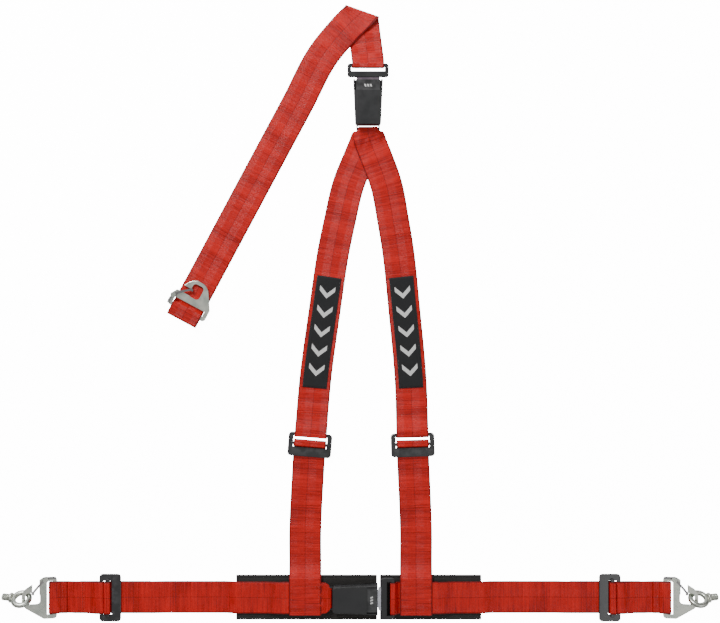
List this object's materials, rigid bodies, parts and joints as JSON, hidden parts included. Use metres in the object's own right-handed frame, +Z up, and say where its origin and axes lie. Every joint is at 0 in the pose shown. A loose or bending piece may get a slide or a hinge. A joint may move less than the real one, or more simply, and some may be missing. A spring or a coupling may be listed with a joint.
{
  "type": "racing harness",
  "caption": "Motorsport seat harness laid flat: padded lap belt and shoulder straps meeting at a rear buckle, with push-button buckles, slide adjusters, snap hooks and eyebolts.",
  "frame": {"origin": "centre of the footprint of the harness as it lies flat, on the plane it lies on", "axes": "+X along the lap straps towards the tongue's side, +Y from the lap straps to the rear buckle, +Z up"},
  "size_m": [1.1106, 0.9599, 0.0281],
  "materials": {
    "webbing": "tightly woven polyester webbing",
    "label": "woven damask label",
    "pad": "padded cover",
    "plastic": "fine moulded grain",
    "coated": "black coated steel",
    "zinc": "zinc plated steel",
    "spring": "spring steel"
  },
  "bodies": {
    "harness": {"lap_lower_shell": "plastic", "lap_upper_shell": "plastic", "lap_button_spring": "spring", "lap_frame": "coated", "lap_latch": "spring", "lap_rivet": "zinc", "lap_ejector_spring": "spring", "rear_lower_shell": "plastic", "rear_upper_shell": "plastic", "rear_button_spring": "spring", "rear_frame": "coated", "rear_latch": "spring", "rear_rivet": "zinc", "rear_ejector_spring": "spring", "left_hook_plate": "zinc", "left_hook_rivet": "zinc", "left_hook_gate_spring": "spring", "left_lap_adjuster_frame": "coated", "left_shoulder_adjuster_frame": "coated", "right_shoulder_adjuster_frame": "coated", "left_anchor_strap": "webbing", "left_lap_strap": "webbing", "left_shoulder_strap": "webbing", "left_shoulder_label": "label", "left_lap_pad": "pad", "right_shoulder_strap": "webbing", "right_shoulder_label": "label", "yoke_strap": "webbing"},
    "lap_tongue": {"lap_tongue_plate": "zinc", "lap_tongue_head": "plastic", "right_lap_strap": "webbing", "right_lap_pad": "pad", "right_lap_adjuster_frame": "coated", "right_anchor_strap": "webbing", "right_hook_plate": "zinc", "right_hook_rivet": "zinc", "right_hook_gate_spring": "spring"},
    "rear_tongue": {"rear_tongue_plate": "zinc", "rear_tongue_head": "plastic", "rear_strap": "webbing", "rear_hook_plate": "zinc", "rear_hook_rivet": "zinc", "rear_hook_gate_spring": "spring"},
    "lap_button": {"lap_button": "plastic"},
    "rear_button": {"rear_button": "plastic"},
    "lap_ejector": {"lap_ejector": "plastic"},
    "rear_ejector": {"rear_ejector": "plastic"},
    "left_gate": {"left_hook_gate": "zinc"},
    "right_gate": {"right_hook_gate": "zinc"},
    "rear_gate": {"rear_hook_gate": "zinc"},
    "left_eyebolt": {"left_eyebolt": "zinc"},
    "right_eyebolt": {"right_eyebolt": "zinc"},
    "left_lap_lock_bar": {"left_lap_adjuster_lock_bar": "coated"},
    "right_lap_lock_bar": {"right_lap_adjuster_lock_bar": "coated"},
    "left_shoulder_lock_bar": {"left_shoulder_adjuster_lock_bar": "coated"},
    "right_shoulder_lock_bar": {"right_shoulder_adjuster_lock_bar": "coated"}
  },
  "joints": [
    {"name": "lap_tongue_slide", "type": "slide", "parent": "harness", "child": "lap_tongue", "axis": [1, 0, 0], "range_m": [0, 0.045], "deforming": ["lap_latch", "lap_ejector_spring", "right_shoulder_strap"]},
    {"name": "rear_tongue_slide", "type": "slide", "parent": "harness", "child": "rear_tongue", "axis": [0, 1, 0], "range_m": [0, 0.045], "deforming": ["rear_latch", "rear_ejector_spring"]},
    {"name": "lap_button_press", "type": "slide", "parent": "harness", "child": "lap_button", "axis": [-1, 0, 0], "range_m": [0, 0.004], "stiffness_N_per_m": 500, "springref_m": -0.004, "deforming": ["lap_button_spring", "lap_latch"]},
    {"name": "rear_button_press", "type": "slide", "parent": "harness", "child": "rear_button", "axis": [0, -1, 0], "range_m": [0, 0.004], "stiffness_N_per_m": 500, "springref_m": -0.004, "deforming": ["rear_button_spring", "rear_latch"]},
    {"name": "lap_ejector_slide", "type": "slide", "parent": "harness", "child": "lap_ejector", "axis": [1, 0, 0], "range_m": [0, 0.008], "deforming": ["lap_ejector_spring"]},
    {"name": "rear_ejector_slide", "type": "slide", "parent": "harness", "child": "rear_ejector", "axis": [0, 1, 0], "range_m": [0, 0.008], "deforming": ["rear_ejector_spring"]},
    {"name": "left_gate_swing", "type": "hinge", "parent": "harness", "child": "left_gate", "pos_m": [-0.48817, -0.413, 0.00529], "axis": [0.1994, 0, 0.9799], "range_deg": [0, 18], "stiffness_Nm_per_rad": 0.05, "springref_deg": -20.05, "deforming": ["left_hook_gate_spring"]},
    {"name": "right_gate_swing", "type": "hinge", "parent": "lap_tongue", "child": "right_gate", "pos_m": [0.48817, -0.413, 0.00529], "axis": [0.1994, 0, -0.9799], "range_deg": [0, 18], "stiffness_Nm_per_rad": 0.05, "springref_deg": -20.05, "deforming": ["right_hook_gate_spring"]},
    {"name": "rear_gate_swing", "type": "hinge", "parent": "rear_tongue", "child": "rear_gate", "pos_m": [-0.28958, 0.02948, 0.0032], "axis": [0, 0, -1], "range_deg": [0, 18], "stiffness_Nm_per_rad": 0.05, "springref_deg": -20.05, "deforming": ["rear_hook_gate_spring"]},
    {"name": "left_eyebolt_swing", "type": "hinge", "parent": "harness", "child": "left_eyebolt", "pos_m": [-0.52413, -0.442, 0.01414], "axis": [0, 0.7986, 0.6018], "range_deg": [-10, 60]},
    {"name": "right_eyebolt_swing", "type": "hinge", "parent": "lap_tongue", "child": "right_eyebolt", "pos_m": [0.52413, -0.442, 0.01414], "axis": [0, -0.7986, -0.6018], "range_deg": [-10, 60]},
    {"name": "left_lap_lock_bar_slide", "type": "slide", "parent": "harness", "child": "left_lap_lock_bar", "axis": [-1, 0, 0], "range_m": [0, 0.0018]},
    {"name": "right_lap_lock_bar_slide", "type": "slide", "parent": "lap_tongue", "child": "right_lap_lock_bar", "axis": [1, 0, 0], "range_m": [0, 0.0018]},
    {"name": "left_shoulder_lock_bar_slide", "type": "slide", "parent": "harness", "child": "left_shoulder_lock_bar", "axis": [0.0822, 0.9966, 0], "range_m": [0, 0.0018]},
    {"name": "right_shoulder_lock_bar_slide", "type": "slide", "parent": "harness", "child": "right_shoulder_lock_bar", "axis": [-0.0302, 0.9995, 0], "range_m": [0, 0.0018]}
  ],
  "couplings": [
    {"joint": "lap_ejector_slide", "follows": "lap_tongue_slide", "ratio": 0.1777},
    {"joint": "rear_ejector_slide", "follows": "rear_tongue_slide", "ratio": 0.1777}
  ]
}
